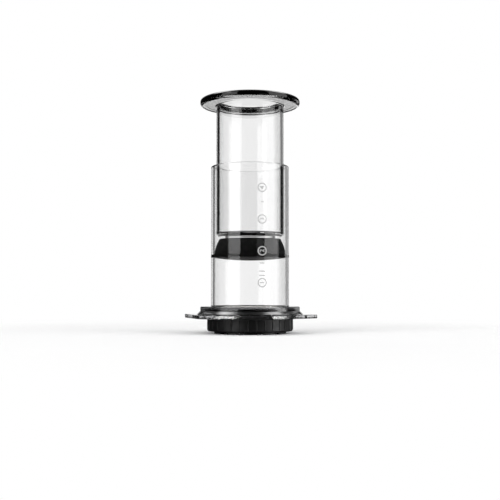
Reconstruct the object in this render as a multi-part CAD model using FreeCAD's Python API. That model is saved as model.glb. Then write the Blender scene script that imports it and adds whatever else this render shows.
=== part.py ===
import FreeCAD, Part

import math
import os

from FreeCAD import Vector

# A hand-pressed coffee maker: a clear chamber with a hexagonal flange, a clear hollow plunger
# with a rubber seal on its end, and a black perforated cap that holds a paper filter.
# Sizes are in millimetres and angles in degrees. The origin is at the centre of the foot ring
# that the cap stands on, +Z runs up the chamber, and the flange has a corner on +X.

# Chamber
BORE_RADIUS = 29.45
CHAMBER_WALL = 2.8
SPIGOT_WALL = 2.3
CHAMBER_LENGTH = 131.35
MOUTH_ROUND = 1.35
END_ROUND = 0.6

# Hexagonal flange, and the hollow boss above it
FLANGE_RISE = 6.5
FLANGE_THICKNESS = 3.0
FLANGE_MARGIN = 6.15
FLANGE_CORNER_ROUND = 8.0
FLANGE_EDGE_ROUND = 0.5
SHOULDER_KERB = 0.6
SHOULDER_HEIGHT = 2.2
SHOULDER_WIDTH = 2.3
BOSS_SIDE = 3.6
BOSS_WALL = 2.7
BOSS_ROOF = 1.8
BOSS_ROUND = 0.9

# Bayonet: lugs outside the chamber's lower end, under ledges inside the cap. Each takes a
# share of the angle from one lug to the next.
LUG_COUNT = 4
LUG_SHARE = 0.4
LUG_REACH = 1.25
LUG_THICKNESS = 2.0
STOP_ANGLE = 3.0
STOP_PLAY_ANGLE = 0.6
LEDGE_SHARE = 0.4
LEDGE_THICKNESS = 2.0
LEDGE_GAP = 0.1
BAYONET_CLEARANCE = 0.3

# Cap
CAP_WALL = 1.6
CAP_FLOOR = 2.4
CAP_FLOOR_RECESS = 1.5
CAP_EDGE_ROUND = 0.9
CAP_HEADROOM = 2.8
CAP_ROOF_GAP = 0.6
COLLAR_REACH = 2.8
COLLAR_DEPTH = 6.2
COLLAR_ROUND = 0.6
COLLAR_CLEARANCE = 0.55
GRIP_RIB_COUNT = 32
GRIP_RIB_RADIUS = 0.55
GRIP_RIB_STAND = 0.45
GRIP_RIB_LIFT = 1.2
FOOT_INSET = 5.4
FOOT_WIDTH = 2.2
FOOT_HEIGHT = 2.0
FOOT_ROUND = 0.5
FOOT_NOTCH_COUNT = 12
FOOT_NOTCH_WIDTH = 5.0
FOOT_NOTCH_DEPTH = 1.2
DRIP_HOLE_RADIUS = 0.9
DRIP_EDGE = 1.4
DRIP_RING_COUNT = 5
DRIP_HOLES_PER_STEP = 6

# Paper filter
PAPER_OVERHANG = 0.25
PAPER_THICKNESS = 0.2
PAPER_CLEARANCE = 0.05

# Seal
SEAL_CLEARANCE = 0.06
SEAL_HEIGHT = 15.5
SEAL_TAPER = 4.2
SEAL_SHELF = 0.2
SEAL_COLLAR = 2.6
SEAL_COLLAR_ROUND = 9.0
SEAL_BELLY = 0.5
SEAL_BELLY_ROUND = 60.0
SEAL_ROOF = 2.6
SEAL_ROOF_WIDTH = 4.2
SEAL_EDGE_ROUND = 0.5
SEAL_FLOOR = 1.4
LIP_THICKNESS = 2.6
DOME_DEPTH = 2.0
DOME_INSET = 0.5

# Plunger
PLUNGER_GAP = 1.5
PLUNGER_WALL = 2.65
PLUNGER_FLOOR = 3.0
PLUNGER_CHAMFER = 2.0
PLUNGER_BORE_ROUND = 1.0
NECK_WALL = 2.4
NECK_LIFT = 1.7
BEAD_REACH = 2.0
BEAD_THICKNESS = 2.4
BEAD_ROUND = 0.6
BEAD_FIT = 0.08
DISC_REACH = 8.4
DISC_THICKNESS = 5.2
DISC_FILLET = 1.0
DISC_BORE_ROUND = 2.0
RIM_WIDTH = 4.9
RIM_STAND = 0.4
RIM_ROUND = 2.3

# How far above the paper the seal's lowest point is: first as the plunger stands, part way
# down, and then with its disc on the chamber's mouth, where the spent grounds fill the rest.
SEAL_STANDING_HEIGHT = 53.8
SEAL_PRESSED_HEIGHT = 3.5

# Radii that follow from the sizes above
TUBE_RADIUS = BORE_RADIUS + CHAMBER_WALL
SPIGOT_RADIUS = BORE_RADIUS + SPIGOT_WALL
PAPER_RADIUS = SPIGOT_RADIUS + PAPER_OVERHANG
LUG_RADIUS = SPIGOT_RADIUS + LUG_REACH
LEDGE_RADIUS = SPIGOT_RADIUS + BAYONET_CLEARANCE
CAP_BORE_RADIUS = LUG_RADIUS + BAYONET_CLEARANCE
CAP_RADIUS = CAP_BORE_RADIUS + CAP_WALL
COLLAR_RADIUS = CAP_RADIUS + COLLAR_REACH
FOOT_RADIUS = CAP_RADIUS - FOOT_INSET
FOOT_BORE_RADIUS = FOOT_RADIUS - FOOT_WIDTH
BOSS_BORE_RADIUS = COLLAR_RADIUS + COLLAR_CLEARANCE
BOSS_RADIUS = BOSS_BORE_RADIUS + BOSS_WALL
SHOULDER_RADIUS = BOSS_RADIUS + SHOULDER_WIDTH
FLANGE_CORNER_REACH = (SHOULDER_RADIUS + FLANGE_MARGIN) / math.cos(math.pi / 6)
LIP_RADIUS = BORE_RADIUS - SEAL_CLEARANCE
FLARE_RADIUS = LIP_RADIUS - SEAL_SHELF
SEAL_TOP_RADIUS = LIP_RADIUS - SEAL_TAPER
NECK_RADIUS = SEAL_TOP_RADIUS - SEAL_ROOF_WIDTH
NECK_BORE_RADIUS = NECK_RADIUS - NECK_WALL
BEAD_RADIUS = NECK_RADIUS + BEAD_REACH
PLUNGER_RADIUS = BORE_RADIUS - PLUNGER_GAP
PLUNGER_BORE_RADIUS = PLUNGER_RADIUS - PLUNGER_WALL
DISC_RADIUS = PLUNGER_RADIUS + DISC_REACH
RIM_RADIUS = DISC_RADIUS + RIM_WIDTH

# Heights that follow from them
FLOOR_UNDERSIDE = FOOT_HEIGHT + CAP_FLOOR_RECESS
FLOOR_TOP = FLOOR_UNDERSIDE + CAP_FLOOR
PAPER_TOP = FLOOR_TOP + PAPER_THICKNESS
CHAMBER_END = PAPER_TOP + PAPER_CLEARANCE
MOUTH = CHAMBER_END + CHAMBER_LENGTH
FLANGE_UNDERSIDE = CHAMBER_END + FLANGE_RISE
FLANGE_TOP = FLANGE_UNDERSIDE + FLANGE_THICKNESS
KERB_TOP = FLANGE_TOP + SHOULDER_KERB
SHOULDER_TOP = KERB_TOP + SHOULDER_HEIGHT
BOSS_TOP = SHOULDER_TOP + BOSS_SIDE
BOSS_CEILING = BOSS_TOP - BOSS_ROOF
CAP_TOP = BOSS_CEILING - CAP_ROOF_GAP
COLLAR_UNDERSIDE = CAP_TOP - COLLAR_DEPTH
LEDGE_TOP = CAP_TOP - CAP_HEADROOM
LEDGE_UNDERSIDE = LEDGE_TOP - LEDGE_THICKNESS
LUG_TOP = LEDGE_UNDERSIDE - LEDGE_GAP
LUG_UNDERSIDE = LUG_TOP - LUG_THICKNESS
DOME_APEX = PAPER_TOP + SEAL_STANDING_HEIGHT
LIP_UNDERSIDE = DOME_APEX + DOME_DEPTH
LIP_TOP = LIP_UNDERSIDE + LIP_THICKNESS
SEAL_TOP = LIP_UNDERSIDE + SEAL_HEIGHT
COLLAR_END = LIP_TOP + SEAL_COLLAR
CAVITY_TOP = SEAL_TOP - SEAL_ROOF
CAVITY_FLOOR = LIP_UNDERSIDE + SEAL_FLOOR
NECK_END = CAVITY_FLOOR + BEAD_FIT
BEAD_TOP = CAVITY_TOP - BEAD_FIT
BEAD_UNDERSIDE = BEAD_TOP - BEAD_THICKNESS
PLUNGER_UNDERSIDE = SEAL_TOP + NECK_LIFT
PLUNGER_FLOOR_TOP = PLUNGER_UNDERSIDE + PLUNGER_FLOOR
DISC_UNDERSIDE = MOUTH + SEAL_STANDING_HEIGHT - SEAL_PRESSED_HEIGHT
DISC_TOP = DISC_UNDERSIDE + DISC_THICKNESS
PLUNGER_TOP = DISC_TOP + RIM_STAND

# Angles that follow from them
LUG_PITCH = 360.0 / LUG_COUNT
LUG_ANGLE = LUG_PITCH * LUG_SHARE
LEDGE_ANGLE = LUG_PITCH * LEDGE_SHARE
STOP_START = LEDGE_ANGLE / 2 + STOP_PLAY_ANGLE
STOP_END = STOP_START + STOP_ANGLE

# How far a piece that is fused on reaches into its neighbour
BITE = 0.3
# The most of a side that the rounding at one of its ends may take
SIDE_SHARE = 0.48
AXIS = Vector(0, 0, 1)
ORIGIN = Vector(0, 0, 0)


def rounded(before, corner, after, radius):
    """The two ends and the middle of the arc that rounds the corner, which is no larger than
    the sides beside it have room for."""
    towards_before = before - corner
    towards_after = after - corner
    half_angle = towards_before.getAngle(towards_after) / 2
    room = SIDE_SHARE * min(towards_before.Length, towards_after.Length)
    setback = min(radius / math.tan(half_angle), room)
    radius = setback * math.tan(half_angle)
    towards_before.normalize()
    towards_after.normalize()
    depth = radius / math.sin(half_angle) - radius
    inwards = (towards_before + towards_after).normalize()
    return (
        corner + towards_before * setback,
        corner + inwards * depth,
        corner + towards_after * setback,
    )


def outline(points, place):
    """Closed wire through the points, each (u, v) or (u, v, rounding radius). place turns a
    (u, v) pair into a point in space."""
    corners = [place(point[0], point[1]) for point in points]
    ends = []
    edges = []
    for i, corner in enumerate(corners):
        if len(points[i]) == 2:
            ends.append((corner, corner))
            continue
        after = corners[(i + 1) % len(corners)]
        start, middle, end = rounded(corners[i - 1], corner, after, points[i][2])
        ends.append((start, end))
        edges.append(Part.Arc(start, middle, end).toShape())
    for i, (start, end) in enumerate(ends):
        edges.append(Part.LineSegment(ends[i - 1][1], start).toShape())
    return Part.Wire(Part.sortEdges(edges)[0])


def in_section(radius, height):
    """A point of the half section that is turned about the Z axis."""
    return Vector(radius, 0, height)


def in_plan(x, y):
    """A point of a plan that is extruded upwards."""
    return Vector(x, y, 0)


def turned(points, start=0.0, end=360.0):
    """The (radius, height) outline turned about the Z axis, from one angle to another."""
    shape = Part.Face(outline(points, in_section)).revolve(ORIGIN, AXIS, end - start)
    shape.rotate(ORIGIN, AXIS, start)
    return shape


def rectangle(inner, outer, low, high):
    """Corners of a rectangle in the half section."""
    return [(inner, low), (outer, low), (outer, high), (inner, high)]


def around(count, make):
    """Copies of the shape, evenly turned about the Z axis."""
    copies = []
    for i in range(count):
        copy = make()
        copy.rotate(ORIGIN, AXIS, 360.0 * i / count)
        copies.append(copy)
    return copies


def chamber_body():
    """The tube, the spigot below it and the hollow boss round it, in one half section."""
    return turned(
        [
            (BORE_RADIUS, CHAMBER_END, END_ROUND),
            (SPIGOT_RADIUS, CHAMBER_END, END_ROUND),
            (SPIGOT_RADIUS, BOSS_CEILING, END_ROUND),
            (BOSS_BORE_RADIUS, BOSS_CEILING, END_ROUND),
            (BOSS_BORE_RADIUS, FLANGE_UNDERSIDE),
            (SHOULDER_RADIUS, FLANGE_UNDERSIDE),
            (SHOULDER_RADIUS, KERB_TOP),
            (BOSS_RADIUS, SHOULDER_TOP),
            (BOSS_RADIUS, BOSS_TOP, BOSS_ROUND),
            (TUBE_RADIUS, BOSS_TOP, BOSS_ROUND),
            (TUBE_RADIUS, MOUTH, MOUTH_ROUND),
            (BORE_RADIUS, MOUTH, MOUTH_ROUND),
        ]
    )


def flange_plate():
    """The hexagonal plate round the boss, with its upper and lower edges rounded."""
    corners = []
    for i in range(6):
        angle = math.pi / 3 * i
        corners.append(
            (
                FLANGE_CORNER_REACH * math.cos(angle),
                FLANGE_CORNER_REACH * math.sin(angle),
                FLANGE_CORNER_ROUND,
            )
        )
    plate = Part.Face(outline(corners, in_plan)).extrude(AXIS * FLANGE_THICKNESS)
    level_edges = [edge for edge in plate.Edges if edge.BoundBox.ZLength < BITE]
    edge_round = min(FLANGE_EDGE_ROUND, SIDE_SHARE * FLANGE_THICKNESS)
    plate = plate.makeFillet(edge_round, level_edges)
    plate.translate(AXIS * FLANGE_UNDERSIDE)
    foot = AXIS * FLANGE_UNDERSIDE
    return plate.cut(Part.makeCylinder(SHOULDER_RADIUS - BITE, FLANGE_THICKNESS, foot, AXIS))


def bayonet_lug():
    """One lug outside the spigot, with a stop on its locked end."""
    root = SPIGOT_RADIUS - BITE
    lug = turned(
        rectangle(root, LUG_RADIUS, LUG_UNDERSIDE, LUG_TOP), -LUG_ANGLE / 2, STOP_END
    )
    stop = turned(
        rectangle(root, LUG_RADIUS, LUG_UNDERSIDE, LEDGE_TOP), STOP_START, STOP_END
    )
    return lug.fuse(stop)


def chamber():
    """The clear chamber, one moulding."""
    return chamber_body().fuse([flange_plate()] + around(LUG_COUNT, bayonet_lug))


def cap_cup():
    """The cap's floor, skirt and upper collar, in one half section."""
    return turned(
        [
            (0, FLOOR_UNDERSIDE),
            (FOOT_RADIUS, FLOOR_UNDERSIDE),
            (FOOT_RADIUS, FOOT_HEIGHT),
            (CAP_RADIUS, FOOT_HEIGHT, CAP_EDGE_ROUND),
            (CAP_RADIUS, COLLAR_UNDERSIDE),
            (COLLAR_RADIUS, COLLAR_UNDERSIDE, COLLAR_ROUND),
            (COLLAR_RADIUS, CAP_TOP, COLLAR_ROUND),
            (CAP_BORE_RADIUS, CAP_TOP, COLLAR_ROUND),
            (CAP_BORE_RADIUS, FLOOR_TOP, COLLAR_ROUND),
            (0, FLOOR_TOP),
        ]
    )


def foot_notch():
    """One notch across the foot ring, open downwards."""
    corner = Vector(FOOT_BORE_RADIUS - BITE, -FOOT_NOTCH_WIDTH / 2, -BITE)
    return Part.makeBox(
        FOOT_WIDTH + 2 * BITE, FOOT_NOTCH_WIDTH, FOOT_NOTCH_DEPTH + BITE, corner
    )


def foot_ring():
    """The ring that the cap stands on, notched so that drips can leave."""
    ring = turned(
        [
            (FOOT_BORE_RADIUS, 0, FOOT_ROUND),
            (FOOT_RADIUS, 0, FOOT_ROUND),
            (FOOT_RADIUS, FLOOR_UNDERSIDE + BITE),
            (FOOT_BORE_RADIUS, FLOOR_UNDERSIDE + BITE),
        ]
    )
    return ring.cut(around(FOOT_NOTCH_COUNT, foot_notch))


def grip_rib():
    """One upright half-round rib outside the cap's skirt."""
    low = FOOT_HEIGHT + GRIP_RIB_LIFT
    foot = Vector(CAP_RADIUS + GRIP_RIB_STAND - GRIP_RIB_RADIUS, 0, low)
    return Part.makeCylinder(GRIP_RIB_RADIUS, COLLAR_UNDERSIDE + BITE - low, foot, AXIS)


def cap_ledge():
    """One ledge inside the cap, which lies on a lug when the cap is locked."""
    return turned(
        rectangle(LEDGE_RADIUS, CAP_BORE_RADIUS + BITE, LEDGE_UNDERSIDE, LEDGE_TOP),
        -LEDGE_ANGLE / 2,
        LEDGE_ANGLE / 2,
    )


def drip_hole(distance):
    """Cutter for one hole through the cap's floor, at a distance from the axis."""
    foot = Vector(distance, 0, FLOOR_UNDERSIDE - BITE)
    return Part.makeCylinder(DRIP_HOLE_RADIUS, CAP_FLOOR + 2 * BITE, foot, AXIS)


def drip_holes():
    """Cutters for one hole in the centre and for the even rings of holes round it."""
    pitch = (FOOT_BORE_RADIUS - DRIP_EDGE - DRIP_HOLE_RADIUS) / DRIP_RING_COUNT
    holes = [drip_hole(0)]
    for ring in range(1, DRIP_RING_COUNT + 1):
        count = ring * DRIP_HOLES_PER_STEP
        holes += around(count, lambda distance=ring * pitch: drip_hole(distance))
    return holes


def filter_cap():
    """The black cap: a perforated floor in a ribbed skirt."""
    parts = [foot_ring()] + around(GRIP_RIB_COUNT, grip_rib) + around(LUG_COUNT, cap_ledge)
    return cap_cup().fuse(parts).cut(drip_holes())


def paper_filter():
    """The paper disc on the cap's floor, under the chamber's end."""
    return Part.makeCylinder(PAPER_RADIUS, PAPER_THICKNESS, AXIS * FLOOR_TOP, AXIS)


def domed_end():
    """The shallow dome under the seal."""
    rim = LIP_RADIUS - DOME_INSET
    radius = (rim**2 + DOME_DEPTH**2) / (2 * DOME_DEPTH)
    half_way = math.asin(rim / radius) / 2
    apex = in_section(0, DOME_APEX)
    edge = in_section(rim, LIP_UNDERSIDE)
    top = in_section(0, LIP_UNDERSIDE + BITE)
    shoulder = in_section(rim, LIP_UNDERSIDE + BITE)
    middle = in_section(
        radius * math.sin(half_way), DOME_APEX + radius * (1 - math.cos(half_way))
    )
    sides = [
        Part.Arc(apex, middle, edge).toShape(),
        Part.LineSegment(edge, shoulder).toShape(),
        Part.LineSegment(shoulder, top).toShape(),
        Part.LineSegment(top, apex).toShape(),
    ]
    return Part.Face(Part.Wire(sides)).revolve(ORIGIN, AXIS, 360.0)


def seal():
    """The rubber seal: a cup with a wiping lip, a flared side and a domed end."""
    roof_bore = NECK_RADIUS + BEAD_FIT
    cavity_radius = BEAD_RADIUS + BEAD_FIT
    belly_radius = (FLARE_RADIUS + SEAL_TOP_RADIUS) / 2 + SEAL_BELLY
    cup = turned(
        [
            (0, LIP_UNDERSIDE),
            (LIP_RADIUS, LIP_UNDERSIDE, SEAL_EDGE_ROUND),
            (LIP_RADIUS, LIP_TOP, SEAL_EDGE_ROUND),
            (FLARE_RADIUS, LIP_TOP),
            (FLARE_RADIUS, COLLAR_END, SEAL_COLLAR_ROUND),
            (belly_radius, (COLLAR_END + SEAL_TOP) / 2, SEAL_BELLY_ROUND),
            (SEAL_TOP_RADIUS, SEAL_TOP, SEAL_EDGE_ROUND),
            (roof_bore, SEAL_TOP, SEAL_EDGE_ROUND),
            (roof_bore, CAVITY_TOP),
            (cavity_radius, CAVITY_TOP),
            (cavity_radius, CAVITY_FLOOR),
            (0, CAVITY_FLOOR),
        ]
    )
    return cup.fuse(domed_end())


def plunger():
    """The clear plunger, one moulding: a tube closed at its lower end, the beaded neck that
    holds the seal, and a disc with a thick rim to press on."""
    return turned(
        [
            (0, PLUNGER_UNDERSIDE),
            (NECK_BORE_RADIUS, PLUNGER_UNDERSIDE),
            (NECK_BORE_RADIUS, NECK_END),
            (NECK_RADIUS, NECK_END, BEAD_ROUND),
            (NECK_RADIUS, BEAD_UNDERSIDE),
            (BEAD_RADIUS, BEAD_UNDERSIDE, BEAD_ROUND),
            (BEAD_RADIUS, BEAD_TOP, BEAD_ROUND),
            (NECK_RADIUS, BEAD_TOP),
            (NECK_RADIUS, PLUNGER_UNDERSIDE),
            (PLUNGER_RADIUS - PLUNGER_CHAMFER, PLUNGER_UNDERSIDE),
            (PLUNGER_RADIUS, PLUNGER_UNDERSIDE + PLUNGER_CHAMFER),
            (PLUNGER_RADIUS, DISC_UNDERSIDE, DISC_FILLET),
            (RIM_RADIUS, DISC_UNDERSIDE, RIM_ROUND),
            (RIM_RADIUS, PLUNGER_TOP, RIM_ROUND),
            (DISC_RADIUS, PLUNGER_TOP),
            (DISC_RADIUS, DISC_TOP),
            (PLUNGER_BORE_RADIUS, DISC_TOP, DISC_BORE_ROUND),
            (PLUNGER_BORE_RADIUS, PLUNGER_FLOOR_TOP, PLUNGER_BORE_ROUND),
            (0, PLUNGER_FLOOR_TOP),
        ]
    )


PIECES = {
    "chamber": chamber,
    "filter_cap": filter_cap,
    "paper_filter": paper_filter,
    "plunger": plunger,
    "seal": seal,
}


def main():
    """Writes one STEP file for each piece, and prints its size and how far things can move."""
    os.makedirs("parts", exist_ok=True)
    for name, make in PIECES.items():
        shape = make().removeSplitter()
        if len(shape.Solids) != 1 or not shape.isValid():
            raise ValueError(f"{name} is not one valid solid")
        shape = shape.Solids[0]
        shape.exportStep(f"parts/{name}.step")
        box = shape.BoundBox
        print(f"{name}: {shape.Volume / 1000:.2f} cm3, z {box.ZMin:.2f} to {box.ZMax:.2f}")
    pressed = DISC_UNDERSIDE - MOUTH
    free = LUG_PITCH - LEDGE_ANGLE / 2 - STOP_END
    print(f"the plunger goes down {pressed:.2f}, and up {MOUTH - DOME_APEX:.2f} to leave")
    print(f"the cap turns {free:.2f} degrees between its stops")


main()
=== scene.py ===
import math

import bmesh
import bpy
from bpy.props import FloatProperty, FloatVectorProperty, IntProperty, PointerProperty
from mathutils import Matrix, Vector


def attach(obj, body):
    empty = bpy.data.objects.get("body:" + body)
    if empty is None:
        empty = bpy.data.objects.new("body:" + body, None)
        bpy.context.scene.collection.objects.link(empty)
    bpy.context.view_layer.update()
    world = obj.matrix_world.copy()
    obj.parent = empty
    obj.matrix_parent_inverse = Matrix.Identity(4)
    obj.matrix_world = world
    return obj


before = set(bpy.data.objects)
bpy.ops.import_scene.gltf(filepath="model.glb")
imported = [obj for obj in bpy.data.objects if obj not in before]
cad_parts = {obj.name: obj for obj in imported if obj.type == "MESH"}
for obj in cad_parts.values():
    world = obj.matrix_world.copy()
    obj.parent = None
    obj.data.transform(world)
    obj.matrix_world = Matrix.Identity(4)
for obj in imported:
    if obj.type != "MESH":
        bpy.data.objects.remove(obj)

bl_info = {
    "name": "Coffee press",
    "version": (1, 0, 0),
    "blender": (4, 5, 0),
    "location": "View3D > Sidebar > Coffee press",
    "description": "Finishes, printed scale and studio for a hand coffee press",
    "category": "Object",
}

MM = 0.001
WHITE = (1.0, 1.0, 1.0, 1.0)

# Radii between the inside and the outside of each clear wall, beyond which its painted edge shade
# goes, and where the foot's boss and its flange start, with their painted shade and satin
CHAMBER_WALL_MIDDLE = 30.85 * MM
PLUNGER_WALL_MIDDLE = 26.6 * MM
BOSS_START = 33.2 * MM
FLANGE_START = 43.6 * MM

# The plunger's disc: where its painted shade starts up the tube, where the plate starts that sticks
# out from the tube, the middle of its round rim's outer side, where the rim's underside starts, and
# where its painted dark rim shade starts, out from the axis and up from that middle
DISC_START = 182.6 * MM
PLATE_START = 28.4 * MM
RIM_MIDDLE = 190.8 * MM
RIM_UNDERSIDE_START = 39.7 * MM
RIM_PAINTED_SHADE_START = 40.40 * MM
RIM_SLOPE = 0.485

# Over how far one painted shade tint or finish turns into the next: up the wall and across the
# foot, out to the plate, out to the rim's underside, and out to the rim's painted dark shade
BLEND = 0.6 * MM
PLATE_BLEND = 1.0 * MM
UNDERSIDE_BLEND = 0.3 * MM
RIM_PAINTED_SHADE_BLEND = 0.2 * MM

# How strong the disc's painted shade is in the plate, where 1 is as strong as in the tube
PLATE_PAINTED_SHADE = 0.5

# Height and length of each dash of the printed scale, in millimetres
DASHES = ((47.0, 5.2), (50.4, 5.2), (56.8, 4.2), (81.0, 3.4), (105.4, 2.2))

# How much painted shade darkens a clear wall, from 0 where seen face on to 1 where seen edge on
CHAMBER_EDGE_PAINTED_SHADE = ((0.0, 0.0), (0.54, 0.05), (0.60, 0.8), (0.63, 0.8), (0.69, 0.1), (1.0, 0.0))
PLUNGER_EDGE_PAINTED_SHADE = ((0.0, 0.0), (0.555, 0.05), (0.605, 1.0), (0.74, 1.0), (0.80, 0.25), (1.0, 0.05))

# The same painted shade for the rounded edge of the chamber's mouth, which starts at this height
MOUTH_EDGE_PAINTED_SHADE = ((0.0, 0.0), (0.50, 0.0), (0.62, 1.0), (1.0, 1.0))
MOUTH_START = 136.2 * MM

# How far the outward direction of an upright wall with painted edge shade may point up or down
UPRIGHT = 0.1

# Noise of each finish: how fine it is, and its detail. Its levels mostly lie in a range.
PLASTIC_WEAR = (60.0, 3.0)
PLASTIC_WAVES = (25.0, 1.0)
RUBBER_WEAR = (220.0, 4.0)
RUBBER_GRAIN = (2600.0, 3.0)
CAP_WEAR = (300.0, 4.0)
CAP_GRAIN = (3200.0, 2.0)
PAPER_FIBRES = (900.0, 6.0)
PAPER_CREPE = (500.0, 2.0)
INK_SPECKS = (1500.0, 3.0)
NOISE_RANGE = (0.3, 0.7)

# How far the plastic's waves are drawn out up the wall, and the paper's creases across it
WAVE_STRETCH = (1.0, 1.0, 0.3)
CREPE_STRETCH = (1.0, 0.25, 1.0)

# Roughness of each finish, from its smoothest to its roughest where it varies
PLASTIC_ROUGHNESS = (0.0, 0.02)
RUBBER_ROUGHNESS = (0.55, 0.62)
CAP_ROUGHNESS = (0.38, 0.50)
PAPER_ROUGHNESS = 0.9
INK_ROUGHNESS = 0.5

# Relief of each finish: its strength and its depth
PLASTIC_RELIEF = (0.02, 1.0 * MM)
RUBBER_RELIEF = (0.06, 0.1 * MM)
CAP_RELIEF = (0.25, 0.1 * MM)
PAPER_RELIEF = (0.5, 0.2 * MM)

# How strongly the rubber and the other surfaces mirror
RUBBER_MIRROR = 0.06
USUAL_MIRROR = 0.5

# Shade of the paper between its fibres and of the ink between its specks
PAPER_SHADE = 0.94
INK_SHADE = 0.9

# How many straight steps stand for a round or bent shape
LIP_STEPS = 192
LIP_ROUND_STEPS = 2
RING_STEPS = 64
DASH_STEPS = 8
FLOOR_STEPS = 96

# The profile that makes a bevel round
ROUND_PROFILE = 0.5

# Cosines of the angles from straight behind, and from overhead, between which the world's
# level changes: for what clear walls mirror inside, for reflections, and overhead
BEHIND_INSIDE = (0.75, 0.97)
BEHIND_REFLECTED = (0.93, 0.99)
OVERHEAD = (0.70, 0.85)

# How far overhead leans backwards and how far it points up, and the slopes below the horizon
# between which the world turns dim
OVERHEAD_LEAN = (0.5, 0.87)
HORIZON = (-0.19, -0.15)

# The floor's grey level and its softness, and between which distances it turns white
FLOOR_GREY = 0.90
FLOOR_SOFTNESS = 0.5
FLOOR_TURNS_WHITE = (0.12, 0.40)

# Nearest distance that the camera sees
CAMERA_NEAREST = 0.01

# Softboxes: brightness, and the directions of the two sides in degrees to the camera's right
TALL_SOFTBOXES = {
    "left_softbox": {"radiance": 1.9, "start": -66.0, "end": -29.0},
    "right_softbox": {"radiance": 1.9, "start": 43.0, "end": 92.0},
}
LOW_SOFTBOXES = {
    "weak_softbox": {"radiance": 0.25, "start": 20.0, "end": 38.0},
    "back_softbox": {"radiance": 1.2, "start": 122.0, "end": 150.0},
}

# Lights that only show in gloss. A direction is in degrees to the camera's right, a distance
# is from the press's axis, and a light faces the axis at its aim height. It fades out over a
# share of its width and height.
GLOSS_LIGHTS = {
    "left_rim_light": {
        "radiance": 5.0,
        "size": (0.35, 0.24),
        "direction": -51.0,
        "distance": 0.9,
        "height": 0.53,
        "aim_height": 0.19,
        "fade": 0.4,
    },
    "left_flange_light": {
        "radiance": 22.0,
        "size": (0.023, 0.012),
        "direction": -28.5,
        "distance": 0.31,
        "height": 0.005,
        "aim_height": 0.005,
        "fade": 0.15,
    },
    "right_flange_light": {
        "radiance": 15.0,
        "size": (0.150, 0.012),
        "direction": 71.8,
        "distance": 0.29,
        "height": 0.005,
        "aim_height": 0.005,
        "fade": 0.06,
    },
    "left_boss_light": {
        "radiance": 7.0,
        "size": (0.28, 0.010),
        "direction": -50.0,
        "distance": 0.30,
        "height": 0.0135,
        "aim_height": 0.0135,
        "fade": 0.4,
    },
    "right_boss_light": {
        "radiance": 7.0,
        "size": (0.22, 0.010),
        "direction": 68.0,
        "distance": 0.30,
        "height": 0.0135,
        "aim_height": 0.0135,
        "fade": 0.4,
    },
    "left_shoulder_light": {
        "radiance": 12.0,
        "size": (0.5, 0.5),
        "direction": -122.0,
        "distance": 0.42,
        "height": 0.84,
        "aim_height": 0.017,
        "fade": 0.4,
    },
    "right_shoulder_light": {
        "radiance": 10.0,
        "size": (0.5, 0.5),
        "direction": 122.0,
        "distance": 0.42,
        "height": 0.84,
        "aim_height": 0.017,
        "fade": 0.4,
    },
}


def colour(name, description, default):
    """A colour that the user can change."""
    return FloatVectorProperty(
        name=name,
        description=description,
        subtype="COLOR",
        size=3,
        min=0.0,
        max=1.0,
        default=default,
    )


def length(name, description, default):
    """A length that the user can change, in metres."""
    return FloatProperty(
        name=name, description=description, unit="LENGTH", min=0.0, precision=5, default=default
    )


def level(name, description, default):
    """A plain number from 0 up that the user can change."""
    return FloatProperty(name=name, description=description, min=0.0, precision=3, default=default)


def angle(name, description, default):
    """An angle that the user can change. Its default is given in degrees."""
    return FloatProperty(
        name=name, description=description, subtype="ANGLE", default=math.radians(default)
    )


class PressFinishes(bpy.types.PropertyGroup):
    """Colours and finishes of the press, and the tints that paint shade into its clear parts."""

    chamber_tint: colour("Chamber", "What the chamber's wall lets through", (0.995, 0.995, 0.995))
    # Painted shade on the chamber's wall where it is seen edge on
    chamber_edge: colour("Chamber edge", "The same where it is seen edge on", (0.40, 0.40, 0.405))
    # Painted shade in the mouth's rounded edge
    chamber_mouth: colour("Chamber mouth", "The same round the mouth, edge on", (0.01, 0.01, 0.01))
    # Painted shade in the boss
    chamber_boss: colour("Chamber boss", "The same in the boss above the cap", (0.12, 0.12, 0.125))
    # Painted shade in the flange
    chamber_flange: colour("Chamber flange", "The same in the flange", (0.74, 0.74, 0.75))
    boss_satin: level("Boss satin", "How satin the boss is, where 0 is polished", 0.13)
    flange_satin: level("Flange satin", "The same in the flange", 0.05)
    plunger_tint: colour("Plunger", "What the plunger's wall lets through", (0.985, 0.985, 0.985))
    # Painted shade on the plunger's wall where it is seen edge on
    plunger_edge: colour("Plunger edge", "The same where it is seen edge on", (0.005, 0.005, 0.005))
    # Painted shade in and near the disc
    plunger_disc: colour("Plunger disc", "The same in and near the disc", (0.83, 0.83, 0.83))
    # Painted shade under the rim
    rim_underside: colour("Rim underside", "The same under the disc's rim", (0.30, 0.30, 0.30))
    # Painted shade that makes the rim black
    plunger_rim: colour("Plunger rim", "The same round the disc's rim", (0.0, 0.0, 0.0))
    clear_ior: FloatProperty(
        name="Clear IOR", description="How strongly the clear plastic bends light", default=1.45
    )
    rubber: colour("Rubber", "The seal's colour", (0.0015, 0.0015, 0.0015))
    cap: colour("Cap", "The cap's colour", (0.004, 0.004, 0.0045))
    paper: colour("Paper", "The paper filter's colour", (0.82, 0.80, 0.76))
    ink: colour("Ink", "The printed scale's colour", (0.50, 0.50, 0.50))


class PressSeal(bpy.types.PropertyGroup):
    """Sizes of the seal's wiping edge."""

    edge_radius: length("Edge radius", "Radius of the edge, against the bore", 29.47 * MM)
    edge_depth: length("Edge depth", "How far the edge reaches into the lip", 0.3 * MM)
    edge_low: length("Edge underside", "Height of the edge's lower side", 62.0 * MM)
    edge_high: length("Edge top", "Height of the edge's upper side", 64.5 * MM)


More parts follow.
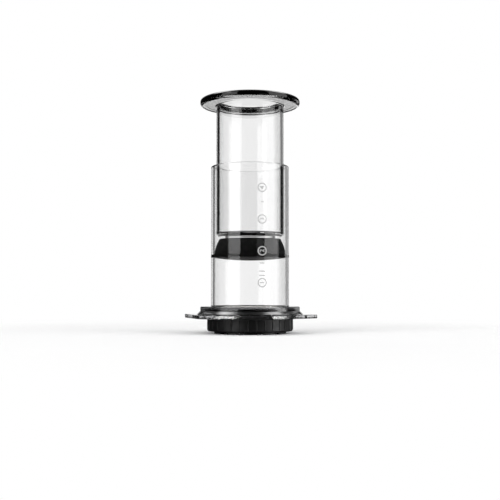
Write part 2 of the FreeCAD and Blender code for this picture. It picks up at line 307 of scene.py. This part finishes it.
class PressScale(bpy.types.PropertyGroup):
    """Sizes and places of the printed number scale."""

    tube_radius: length("Tube radius", "Radius of the wall that it is printed on", 32.25 * MM)
    ink_thickness: length("Ink thickness", "How far the print stands off the wall", 0.04 * MM)
    row_angle: angle("Direction", "Where the scale is round the tube, from +X", -58.5)
    ring_radius: length("Ring radius", "Outer radius of the ring round a number", 3.75 * MM)
    line_width: length("Line width", "Width of the rings", 0.85 * MM)
    dash_width: length("Dash width", "Width of the dashes", 0.7 * MM)
    digit_size: length("Digit size", "Type size of the numbers", 5.4 * MM)
    digit_weight: length("Digit weight", "How much bolder than plain type", 0.05 * MM)
    first_height: length("First number", "Height of number 1", 41.3 * MM)
    number_pitch: length("Number pitch", "Height from one number to the next", 25.2 * MM)
    number_count: IntProperty(name="Numbers", description="How many numbers", min=1, default=4)


class PressStage(bpy.types.PropertyGroup):
    """Camera, floor and light."""

    camera_direction: angle("Camera direction", "Where the camera stands, from -Y towards +X", 14.0)
    camera_distance: length("Camera distance", "From the press's axis", 746.6 * MM)
    camera_height: length("Camera height", "Above the floor", 33.85 * MM)
    camera_tilt: angle("Camera tilt", "Upwards", 2.66)
    lens: FloatProperty(
        name="Lens",
        description="Focal length in mm on a 36 mm sensor",
        unit="CAMERA",
        default=65.2,
    )
    floor_radius: length("Floor radius", "Radius of the round floor", 0.72)
    softbox_distance: length("Softbox distance", "From the press's axis", 0.9)
    tall_softbox: length("Tall softboxes", "How tall the left and right softboxes are", 1.1)
    low_softbox: length("Low softboxes", "How tall the weak and back softboxes are", 0.36)
    world_level: level("World light", "Strength of the even light from all round", 0.70)
    reflected_level: level("Reflected level", "How bright reflections see the studio", 0.02)
    overhead_level: level("Overhead level", "How bright they see it overhead", 0.5)


def add_node(tree, kind, inputs=(), **settings):
    """A new node. Each of its inputs takes a value, or a link from another node's output."""
    node = tree.nodes.new(kind)
    for key, value in settings.items():
        setattr(node, key, value)
    for name, value in dict(inputs).items():
        if isinstance(value, bpy.types.NodeSocket):
            tree.links.new(value, node.inputs[name])
        else:
            node.inputs[name].default_value = value
    return node


def new_material(name):
    """An empty node material and its tree."""
    material = bpy.data.materials.new(name)
    material.use_nodes = True
    material.node_tree.nodes.clear()
    return material, material.node_tree


def noise(tree, fineness, stretch=(1.0, 1.0, 1.0)):
    """Noise on the object's own coordinates, from 0 to 1."""
    scale, detail = fineness
    place = add_node(tree, "ShaderNodeTexCoord").outputs["Object"]
    place = add_node(tree, "ShaderNodeMapping", {"Vector": place, "Scale": stretch})
    return add_node(
        tree,
        "ShaderNodeTexNoise",
        {"Vector": place.outputs["Vector"], "Scale": scale, "Detail": detail},
    ).outputs["Fac"]


def ranged(tree, value, low, high, to_low, to_high):
    """A value, moved smoothly from one range to another and kept in it."""
    return add_node(
        tree,
        "ShaderNodeMapRange",
        {"Value": value, "From Min": low, "From Max": high, "To Min": to_low, "To Max": to_high},
        interpolation_type="SMOOTHSTEP",
    ).outputs["Result"]


def uneven(tree, fineness, low, high):
    """A value that varies over the surface, from low to high."""
    return ranged(tree, noise(tree, fineness), *NOISE_RANGE, low, high)


def ramp(tree, value, stops):
    """A grey level that follows a value through stops of (value, level)."""
    node = add_node(tree, "ShaderNodeValToRGB", {"Fac": value})
    node.color_ramp.interpolation = "EASE"
    elements = node.color_ramp.elements
    while len(elements) < len(stops):
        elements.new(1.0)
    for element, (position, grey) in zip(elements, stops):
        element.position = position
        element.color = (grey, grey, grey, 1.0)
    return node.outputs["Color"]


def mixed(tree, share, first, second):
    """Two colours mixed by a share. The first may be another node's output."""
    if not isinstance(first, bpy.types.NodeSocket):
        first = (*first, 1.0)
    return add_node(
        tree,
        "ShaderNodeMix",
        {"Factor": share, "A": first, "B": (*second, 1.0)},
        data_type="RGBA",
    ).outputs["Result"]


def chosen(tree, share, first, second):
    """Two numbers mixed by a share."""
    return add_node(
        tree, "ShaderNodeMix", {"Factor": share, "A": first, "B": second}, data_type="FLOAT"
    ).outputs["Result"]


def shaded(tree, fineness, colour, shade):
    """A colour with darker specks."""
    return mixed(tree, noise(tree, fineness), [part * shade for part in colour], colour)


def joined(tree, operation, first, second=0.0):
    """Two numbers joined by a sum or a test, or one number that is changed."""
    return add_node(
        tree, "ShaderNodeMath", {0: first, 1: second}, operation=operation
    ).outputs["Value"]


def dotted(tree, first, second):
    """The cosine of the angle between two directions."""
    return add_node(
        tree, "ShaderNodeVectorMath", {0: first, 1: second}, operation="DOT_PRODUCT"
    ).outputs["Value"]


def bumped(tree, height, relief):
    """A normal bent by a height pattern, whose relief is a strength and a depth."""
    strength, depth = relief
    return add_node(
        tree,
        "ShaderNodeBump",
        {"Height": height, "Strength": strength, "Distance": depth},
    ).outputs["Normal"]


def put_out(tree, shader):
    """Sends the shader to the material's output."""
    add_node(tree, "ShaderNodeOutputMaterial", {"Surface": shader})


def put_out_either(tree, share, first, second):
    """Sends two shaders, mixed by a share, to the material's output."""
    both = add_node(tree, "ShaderNodeMixShader", {"Fac": share})
    tree.links.new(first, both.inputs[1])
    tree.links.new(second, both.inputs[2])
    put_out(tree, both.outputs["Shader"])


def opaque(tree, colour, roughness, mirror=USUAL_MIRROR, **more):
    """An opaque surface, sent to the material's output. More of its inputs can be given."""
    inputs = {
        "Base Color": colour,
        "Roughness": roughness,
        "Specular IOR Level": mirror,
    }
    shader = add_node(tree, "ShaderNodeBsdfPrincipled", {**inputs, **more})
    put_out(tree, shader.outputs["BSDF"])


def finish_node(name, material):
    """Gives a CAD node the material."""
    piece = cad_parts[name]
    piece.data.materials.clear()
    piece.data.materials.append(material)


def distance_from_axis(tree):
    """How far a point of the surface is from the press's axis."""
    place = add_node(tree, "ShaderNodeTexCoord").outputs["Object"]
    flat = add_node(
        tree, "ShaderNodeVectorMath", {0: place, 1: (1.0, 1.0, 0.0)}, operation="MULTIPLY"
    ).outputs["Vector"]
    return add_node(
        tree, "ShaderNodeVectorMath", {0: flat}, operation="LENGTH"
    ).outputs["Value"]


def height_above_foot(tree):
    """How high a point of the surface is."""
    place = add_node(tree, "ShaderNodeTexCoord").outputs["Object"]
    return add_node(tree, "ShaderNodeSeparateXYZ", {"Vector": place}).outputs["Z"]


def seen_edge_on(tree):
    """How far the surface is turned away, from 0 where it is seen face on to 1 edge on."""
    return add_node(tree, "ShaderNodeLayerWeight").outputs["Facing"]


def clear_plastic(tree, ior, plain, painted_edge_shade_tint, painted_edge_shade_stops, wall_middle, satin=0.0):
    """Clear moulded plastic with a plain tint, whose outside gets painted shade where its upright
    wall is seen edge on. Where it isn't polished, it is satin."""
    outside = joined(tree, "GREATER_THAN", distance_from_axis(tree), wall_middle)
    normal = add_node(tree, "ShaderNodeTexCoord").outputs["Normal"]
    slope = add_node(tree, "ShaderNodeSeparateXYZ", {"Vector": normal}).outputs["Z"]
    upright = joined(tree, "LESS_THAN", joined(tree, "ABSOLUTE", slope), UPRIGHT)
    # Painted shade: the wall's outside is tinted darker where it is seen edge on, in place of the
    # dark that its edges refract
    painted_edge_shade = joined(tree, "MULTIPLY", ramp(tree, seen_edge_on(tree), painted_edge_shade_stops), outside)
    colour = mixed(tree, joined(tree, "MULTIPLY", painted_edge_shade, upright), plain, painted_edge_shade_tint)
    polish = uneven(tree, PLASTIC_WEAR, *PLASTIC_ROUGHNESS)
    shader = add_node(
        tree,
        "ShaderNodeBsdfPrincipled",
        {
            "Base Color": colour,
            "Roughness": joined(tree, "ADD", polish, satin),
            "IOR": ior,
            "Transmission Weight": 1.0,
            "Normal": bumped(tree, noise(tree, PLASTIC_WAVES, WAVE_STRETCH), PLASTIC_RELIEF),
        },
    )
    shadow = add_node(tree, "ShaderNodeLightPath").outputs["Is Shadow Ray"]
    through = add_node(tree, "ShaderNodeBsdfTransparent", {"Color": plain})
    put_out_either(tree, shadow, shader.outputs["BSDF"], through.outputs["BSDF"])


def chamber_plastic(finishes):
    """The chamber's clear plastic, with painted shade in its mouth's edge and its foot. The foot's
    boss and flange are satin."""
    material, tree = new_material("clear_chamber_plastic")
    radius = distance_from_axis(tree)

    def beyond(start, value):
        """0 nearer to the axis than start, and the value further out."""
        return ranged(tree, radius, start, start + BLEND, 0.0, value)

    # Painted shade: the boss is tinted dark, in place of the dark seen through it
    plain = mixed(tree, beyond(BOSS_START, 1.0), finishes.chamber_tint, finishes.chamber_boss)
    # Painted shade: the flange is tinted grey, in place of the dark it refracts
    plain = mixed(tree, beyond(FLANGE_START, 1.0), plain, finishes.chamber_flange)
    # Painted shade: the mouth's rounded edge turns near black where it is seen edge on
    mouth = joined(tree, "GREATER_THAN", height_above_foot(tree), MOUTH_START)
    mouth = joined(tree, "MULTIPLY", mouth, ramp(tree, seen_edge_on(tree), MOUTH_EDGE_PAINTED_SHADE))
    plain = mixed(tree, mouth, plain, finishes.chamber_mouth)
    boss_satin = beyond(BOSS_START, finishes.boss_satin)
    less_in_flange = beyond(FLANGE_START, finishes.boss_satin - finishes.flange_satin)
    clear_plastic(
        tree,
        finishes.clear_ior,
        plain,
        finishes.chamber_edge,
        CHAMBER_EDGE_PAINTED_SHADE,
        CHAMBER_WALL_MIDDLE,
        joined(tree, "SUBTRACT", boss_satin, less_in_flange),
    )
    return material


def plunger_plastic(finishes):
    """The plunger's clear plastic, with painted shade: greyer in the disc, darker under the
    rim, and dark round the disc's rim.
    """
    material, tree = new_material("clear_plunger_plastic")
    height = height_above_foot(tree)
    radius = distance_from_axis(tree)
    # Painted shade: the disc and the tube near it are tinted grey, less in the plate
    disc = ranged(tree, height, DISC_START, DISC_START + BLEND, 0.0, 1.0)
    plate = ranged(tree, radius, PLATE_START, PLATE_START + PLATE_BLEND, 1.0, PLATE_PAINTED_SHADE)
    disc = joined(tree, "MULTIPLY", disc, plate)
    above = joined(tree, "SUBTRACT", height, RIM_MIDDLE)
    # Painted shade: the rim's underside is tinted dark grey
    under = ranged(
        tree, radius, RIM_UNDERSIDE_START, RIM_UNDERSIDE_START + UNDERSIDE_BLEND, 0.0, 1.0
    )
    under = joined(tree, "MULTIPLY", under, joined(tree, "LESS_THAN", above, 0.0))
    # Painted shade: the rim is tinted black, along a slope across its round outer side
    outwards = joined(tree, "ADD", radius, joined(tree, "MULTIPLY", above, RIM_SLOPE))
    rim = ranged(tree, outwards, RIM_PAINTED_SHADE_START, RIM_PAINTED_SHADE_START + RIM_PAINTED_SHADE_BLEND, 0.0, 1.0)
    plain = mixed(tree, disc, finishes.plunger_tint, finishes.plunger_disc)
    plain = mixed(tree, under, plain, finishes.rim_underside)
    clear_plastic(
        tree,
        finishes.clear_ior,
        mixed(tree, rim, plain, finishes.plunger_rim),
        finishes.plunger_edge,
        PLUNGER_EDGE_PAINTED_SHADE,
        PLUNGER_WALL_MIDDLE,
    )
    return material


class PRESS_OT_clear_parts(bpy.types.Operator):
    """Gives the chamber and the plunger their clear plastic"""

    bl_idname = "press.clear_parts"
    bl_label = "Clear parts"

    def execute(self, context):
        finishes = context.scene.press_finishes
        finish_node("chamber", chamber_plastic(finishes))
        finish_node("plunger", plunger_plastic(finishes))
        return {"FINISHED"}


class PRESS_OT_seal(bpy.types.Operator):
    """Gives the seal its rubber"""

    bl_idname = "press.seal"
    bl_label = "Seal"

    def execute(self, context):
        material, tree = new_material("black_seal_rubber")
        opaque(
            tree,
            (*context.scene.press_finishes.rubber, 1.0),
            uneven(tree, RUBBER_WEAR, *RUBBER_ROUGHNESS),
            RUBBER_MIRROR,
            Normal=bumped(tree, noise(tree, RUBBER_GRAIN), RUBBER_RELIEF),
        )
        finish_node("seal", material)
        edge = new_piece("lip_edge", lip_edge_mesh(context.scene.press_seal), material, "seal")
        return {"FINISHED"}


def lip_edge_mesh(seal):
    """The thin wet edge of the seal's lip, pressed against the chamber's bore."""
    profile = bmesh.new()
    low = profile.verts.new((seal.edge_radius, 0.0, seal.edge_low))
    high = profile.verts.new((seal.edge_radius, 0.0, seal.edge_high))
    line = profile.edges.new((low, high))
    wide = bmesh.ops.extrude_edge_only(profile, edges=[line])
    inner = [item for item in wide["geom"] if isinstance(item, bmesh.types.BMVert)]
    bmesh.ops.translate(profile, verts=inner, vec=(-seal.edge_depth, 0.0, 0.0))
    bmesh.ops.bevel(
        profile,
        geom=[low, high],
        offset=seal.edge_depth / 3,
        segments=LIP_ROUND_STEPS,
        affect="VERTICES",
        profile=ROUND_PROFILE,
        material=-1,
    )
    bmesh.ops.delete(profile, geom=list(profile.faces), context="FACES_ONLY")
    bmesh.ops.spin(
        profile,
        geom=list(profile.edges) + list(profile.verts),
        cent=(0.0, 0.0, 0.0),
        axis=(0.0, 0.0, 1.0),
        angle=math.tau,
        steps=LIP_STEPS,
        use_merge=True,
        use_duplicate=False,
    )
    bmesh.ops.recalc_face_normals(profile, faces=profile.faces)
    mesh = bpy.data.meshes.new("lip_edge")
    profile.to_mesh(mesh)
    profile.free()
    return mesh


class PRESS_OT_cap(bpy.types.Operator):
    """Gives the filter cap its matte plastic"""

    bl_idname = "press.cap"
    bl_label = "Filter cap"

    def execute(self, context):
        material, tree = new_material("matte_cap_plastic")
        opaque(
            tree,
            (*context.scene.press_finishes.cap, 1.0),
            uneven(tree, CAP_WEAR, *CAP_ROUGHNESS),
            Normal=bumped(tree, noise(tree, CAP_GRAIN), CAP_RELIEF),
        )
        finish_node("filter_cap", material)
        return {"FINISHED"}


class PRESS_OT_paper(bpy.types.Operator):
    """Gives the paper filter its creped paper"""

    bl_idname = "press.paper"
    bl_label = "Paper filter"

    def execute(self, context):
        paper = context.scene.press_finishes.paper
        material, tree = new_material("creped_filter_paper")
        opaque(
            tree,
            shaded(tree, PAPER_FIBRES, paper, PAPER_SHADE),
            PAPER_ROUGHNESS,
            Normal=bumped(tree, noise(tree, PAPER_CREPE, CREPE_STRETCH), PAPER_RELIEF),
        )
        finish_node("paper_filter", material)
        return {"FINISHED"}


def new_piece(name, mesh, material, body):
    """A piece of the press, with its place in its mesh, that moves with a CAD body."""
    mesh.name = name
    mesh.materials.clear()
    mesh.materials.append(material)
    piece = bpy.data.objects.new(name, mesh)
    bpy.context.scene.collection.objects.link(piece)
    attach(piece, body)
    return piece


def wrapped(flat, scale, height):
    """Bends a flat print onto the tube: x goes round it and y goes up it. Its centre lies at
    the scale's direction, at a height. The print gets its thickness here, and stands off the
    wall by a quarter of it."""
    low = scale.tube_radius + scale.ink_thickness / 4
    bmesh.ops.recalc_face_normals(flat, faces=flat.faces)
    front = bmesh.ops.extrude_face_region(flat, geom=list(flat.faces), use_keep_orig=True)
    raised = {item for item in front["geom"] if isinstance(item, bmesh.types.BMVert)}
    for vertex in flat.verts:
        radius = low + (scale.ink_thickness if vertex in raised else 0.0)
        around = scale.row_angle + vertex.co.x / scale.tube_radius
        vertex.co = (
            radius * math.cos(around),
            radius * math.sin(around),
            height + vertex.co.y,
        )
    bmesh.ops.recalc_face_normals(flat, faces=flat.faces)
    mesh = bpy.data.meshes.new("print")
    flat.to_mesh(mesh)
    flat.free()
    return mesh


def ring_print(scale):
    """The flat ring round a number."""
    flat = bmesh.new()
    bmesh.ops.create_circle(
        flat, cap_ends=True, segments=RING_STEPS, radius=scale.ring_radius
    )
    middle = list(flat.faces)
    bmesh.ops.inset_region(
        flat, faces=middle, thickness=scale.line_width, use_boundary=True, use_even_offset=True
    )
    bmesh.ops.delete(flat, geom=middle, context="FACES")
    return flat


def dash_print(scale, dash_length):
    """One flat dash, from a square with sides of 1."""
    flat = bmesh.new()
    bmesh.ops.create_grid(flat, x_segments=DASH_STEPS, y_segments=1, size=0.5)
    bmesh.ops.scale(flat, vec=(dash_length, scale.dash_width, 1.0), verts=flat.verts)
    return flat


def digit_print(scale, number):
    """One flat number that reads upwards."""
    curve = bpy.data.curves.new("digit", "FONT")
    curve.body = str(number)
    curve.size = scale.digit_size
    curve.offset = scale.digit_weight
    curve.align_x = "CENTER"
    curve.align_y = "CENTER"
    text = bpy.data.objects.new("digit", curve)
    mesh = bpy.data.meshes.new_from_object(text)
    flat = bmesh.new()
    flat.from_mesh(mesh)
    bpy.data.objects.remove(text)
    bpy.data.meshes.remove(mesh)
    bmesh.ops.remove_doubles(flat, verts=flat.verts, dist=scale.line_width / 100)
    bmesh.ops.rotate(flat, verts=flat.verts, matrix=Matrix.Rotation(math.pi / 2, 3, "Z"))
    return flat


class PRESS_OT_scale(bpy.types.Operator):
    """Prints the number scale on the chamber"""

    bl_idname = "press.scale"
    bl_label = "Number scale"

    def execute(self, context):
        scale = context.scene.press_scale
        ink = context.scene.press_finishes.ink
        material, tree = new_material("grey_scale_ink")
        opaque(tree, shaded(tree, INK_SPECKS, ink, INK_SHADE), INK_ROUGHNESS)
        for number in range(1, scale.number_count + 1):
            height = scale.first_height + scale.number_pitch * (number - 1)
            for name, flat in (
                (f"scale_ring_{number}", ring_print(scale)),
                (f"scale_number_{number}", digit_print(scale, number)),
            ):
                new_piece(name, wrapped(flat, scale, height), material, "chamber")
        for number, (height, dash_length) in enumerate(DASHES, 1):
            flat = dash_print(scale, dash_length * MM)
            mesh = wrapped(flat, scale, height * MM)
            new_piece(f"scale_dash_{number}", mesh, material, "chamber")
        return {"FINISHED"}


def world_light(stage):
    """The studio's surroundings. They are white to the camera and straight through clear
    parts, and give an even light. Reflections see them dim, except straight behind and,
    less bright, overhead. What a clear wall mirrors inside is white behind it alone."""
    world = bpy.data.worlds.new("studio")
    bpy.context.scene.world = world
    world.use_nodes = True
    world.cycles.sampling_method = "NONE"
    tree = world.node_tree
    tree.nodes.clear()
    direction = add_node(tree, "ShaderNodeTexCoord").outputs["Generated"]
    height = add_node(tree, "ShaderNodeSeparateXYZ", {"Vector": direction}).outputs["Z"]
    backwards = Vector((-math.sin(stage.camera_direction), math.cos(stage.camera_direction), 0.0))
    lean, rise = OVERHEAD_LEAN
    upwards = lean * backwards + Vector((0.0, 0.0, rise))
    behind = dotted(tree, direction, backwards)
    dim = stage.reflected_level
    overhead = ranged(
        tree, dotted(tree, direction, upwards), *OVERHEAD, dim, stage.overhead_level
    )
    above = ranged(tree, height, *HORIZON, dim, 1.0)
    inside = ranged(tree, behind, *BEHIND_INSIDE, dim, above)
    path = add_node(tree, "ShaderNodeLightPath").outputs
    mirrored = joined(tree, "GREATER_THAN", path["Glossy Depth"], 0.0)
    level = stage.world_level
    for ray, seen in (
        (path["Is Glossy Ray"], ranged(tree, behind, *BEHIND_REFLECTED, overhead, above)),
        (path["Is Transmission Ray"], chosen(tree, mirrored, 1.0, inside)),
        (path["Is Diffuse Ray"], stage.world_level),
        (path["Is Camera Ray"], 1.0),
    ):
        level = chosen(tree, ray, level, seen)
    background = add_node(tree, "ShaderNodeBackground", {"Color": WHITE, "Strength": level})
    add_node(tree, "ShaderNodeOutputWorld", {"Surface": background.outputs["Background"]})


def soften_edges(light, share):
    """Lets a light panel fade out towards its edges, over a share of its width and height."""
    light.use_nodes = True
    tree = light.node_tree
    tree.nodes.clear()
    place = add_node(tree, "ShaderNodeNewGeometry").outputs["Parametric"]
    place = add_node(tree, "ShaderNodeSeparateXYZ", {"Vector": place}).outputs
    strength = 1.0
    middle = 0.5
    for across in (place["X"], place["Y"]):
        from_middle = joined(tree, "ABSOLUTE", joined(tree, "SUBTRACT", across, middle))
        fade = ranged(tree, from_middle, middle - share, middle, 1.0, 0.0)
        strength = joined(tree, "MULTIPLY", strength, fade)
    glow = add_node(tree, "ShaderNodeEmission", {"Strength": strength})
    add_node(tree, "ShaderNodeOutputLight", {"Surface": glow.outputs["Emission"]})


def panel_light(stage, name, radiance, size, direction, distance, height, aim_height):
    """A soft light panel of a width and height that faces the press's axis, in a direction
    from the camera's, in degrees to its right."""
    light = bpy.data.lights.new(name, "AREA")
    light.shape = "RECTANGLE"
    light.size, light.size_y = size
    light.energy = radiance * math.pi * size[0] * size[1]
    lamp = bpy.data.objects.new(name, light)
    bpy.context.scene.collection.objects.link(lamp)
    around = stage.camera_direction + math.radians(direction)
    place = Vector((math.sin(around) * distance, -math.cos(around) * distance, height))
    facing = Vector((0.0, 0.0, aim_height)) - place
    lamp.rotation_euler = facing.to_track_quat("-Z", "Y").to_euler()
    lamp.location = place
    lamp.visible_camera = False
    return lamp


def softbox(stage, name, radiance, start, end, tall):
    """A soft light that stands on the floor, between two directions."""
    distance = stage.softbox_distance
    width = 2.0 * distance * math.tan(math.radians(end - start) / 2)
    panel_light(
        stage, name, radiance, (width, tall), (start + end) / 2, distance, tall / 2, tall / 2
    )


def gloss_light(stage, name, radiance, size, direction, distance, height, aim_height, fade):
    """A light panel with faded edges that only shows in the gloss of what mirrors it."""
    lamp = panel_light(stage, name, radiance, size, direction, distance, height, aim_height)
    soften_edges(lamp.data, fade)
    lamp.visible_diffuse = False
    lamp.visible_transmission = False


def studio_floor(stage):
    """A round pale floor that keeps the shadow and turns into the white background further
    out. Reflections see it dim."""
    material, tree = new_material("white_floor")
    path = add_node(tree, "ShaderNodeLightPath").outputs
    seen = joined(tree, "MAXIMUM", path["Is Camera Ray"], path["Is Transmission Ray"])
    reflected = joined(tree, "SUBTRACT", path["Is Glossy Ray"], path["Is Transmission Ray"])
    place = add_node(tree, "ShaderNodeTexCoord").outputs["Object"]
    distance = add_node(
        tree, "ShaderNodeVectorMath", {0: place}, operation="LENGTH"
    ).outputs["Value"]
    far = ranged(tree, distance, *FLOOR_TURNS_WHITE, 0.0, 1.0)
    grey = (FLOOR_GREY, FLOOR_GREY, FLOOR_GREY, 1.0)
    lit = add_node(tree, "ShaderNodeBsdfDiffuse", {"Color": grey, "Roughness": FLOOR_SOFTNESS})
    strength = chosen(tree, reflected, 1.0, stage.reflected_level)
    plain = add_node(tree, "ShaderNodeEmission", {"Color": WHITE, "Strength": strength})
    share = joined(tree, "MAXIMUM", joined(tree, "MULTIPLY", seen, far), reflected)
    put_out_either(tree, share, lit.outputs["BSDF"], plain.outputs["Emission"])
    shape = bmesh.new()
    bmesh.ops.create_circle(
        shape, cap_ends=True, segments=FLOOR_STEPS, radius=stage.floor_radius
    )
    mesh = bpy.data.meshes.new("studio_floor")
    shape.to_mesh(mesh)
    shape.free()
    mesh.materials.append(material)
    floor = bpy.data.objects.new("studio_floor", mesh)
    bpy.context.scene.collection.objects.link(floor)


def studio_camera(stage):
    """The camera, at the photograph's angle."""
    camera = bpy.data.objects.new("camera", bpy.data.cameras.new("camera"))
    bpy.context.scene.collection.objects.link(camera)
    camera.data.lens = stage.lens
    camera.data.clip_start = CAMERA_NEAREST
    around = stage.camera_direction
    camera.location = (
        math.sin(around) * stage.camera_distance,
        -math.cos(around) * stage.camera_distance,
        stage.camera_height,
    )
    tilt = stage.camera_tilt
    aim = Vector(
        (-math.sin(around) * math.cos(tilt), math.cos(around) * math.cos(tilt), math.sin(tilt))
    )
    camera.rotation_euler = aim.to_track_quat("-Z", "Y").to_euler()
    bpy.context.scene.camera = camera


class PRESS_OT_stage(bpy.types.Operator):
    """Sets up the camera, the floor, the lamps and the world"""

    bl_idname = "press.stage"
    bl_label = "Stage"

    def execute(self, context):
        stage = context.scene.press_stage
        studio_camera(stage)
        studio_floor(stage)
        world_light(stage)
        for name, values in TALL_SOFTBOXES.items():
            softbox(stage, name, tall=stage.tall_softbox, **values)
        for name, values in LOW_SOFTBOXES.items():
            softbox(stage, name, tall=stage.low_softbox, **values)
        bpy.data.objects["back_softbox"].visible_transmission = False
        for name, values in GLOSS_LIGHTS.items():
            gloss_light(stage, name, **values)
        context.scene.view_settings.view_transform = "Standard"
        return {"FINISHED"}


class PRESS_PT_panel(bpy.types.Panel):
    """The press's steps and values"""

    bl_label = "Coffee press"
    bl_idname = "PRESS_PT_panel"
    bl_space_type = "VIEW_3D"
    bl_region_type = "UI"
    bl_category = "Coffee press"

    def draw(self, context):
        for operator in OPERATORS:
            self.layout.operator(operator.bl_idname)
        for group in (
            context.scene.press_finishes,
            context.scene.press_seal,
            context.scene.press_scale,
            context.scene.press_stage,
        ):
            for key in group.bl_rna.properties.keys():
                if key not in ("rna_type", "name"):
                    self.layout.prop(group, key)


OPERATORS = (
    PRESS_OT_stage,
    PRESS_OT_clear_parts,
    PRESS_OT_seal,
    PRESS_OT_cap,
    PRESS_OT_paper,
    PRESS_OT_scale,
)
CLASSES = (PressFinishes, PressSeal, PressScale, PressStage, *OPERATORS, PRESS_PT_panel)


def register():
    for each in CLASSES:
        bpy.utils.register_class(each)
    bpy.types.Scene.press_finishes = PointerProperty(type=PressFinishes)
    bpy.types.Scene.press_seal = PointerProperty(type=PressSeal)
    bpy.types.Scene.press_scale = PointerProperty(type=PressScale)
    bpy.types.Scene.press_stage = PointerProperty(type=PressStage)


def unregister():
    del bpy.types.Scene.press_stage
    del bpy.types.Scene.press_scale
    del bpy.types.Scene.press_seal
    del bpy.types.Scene.press_finishes
    for each in reversed(CLASSES):
        bpy.utils.unregister_class(each)


def main():
    """Makes the whole scene."""
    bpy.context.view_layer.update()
    register()
    bpy.ops.press.stage()
    bpy.ops.press.clear_parts()
    bpy.ops.press.seal()
    bpy.ops.press.cap()
    bpy.ops.press.paper()
    bpy.ops.press.scale()


if __name__ == "__main__":
    main()
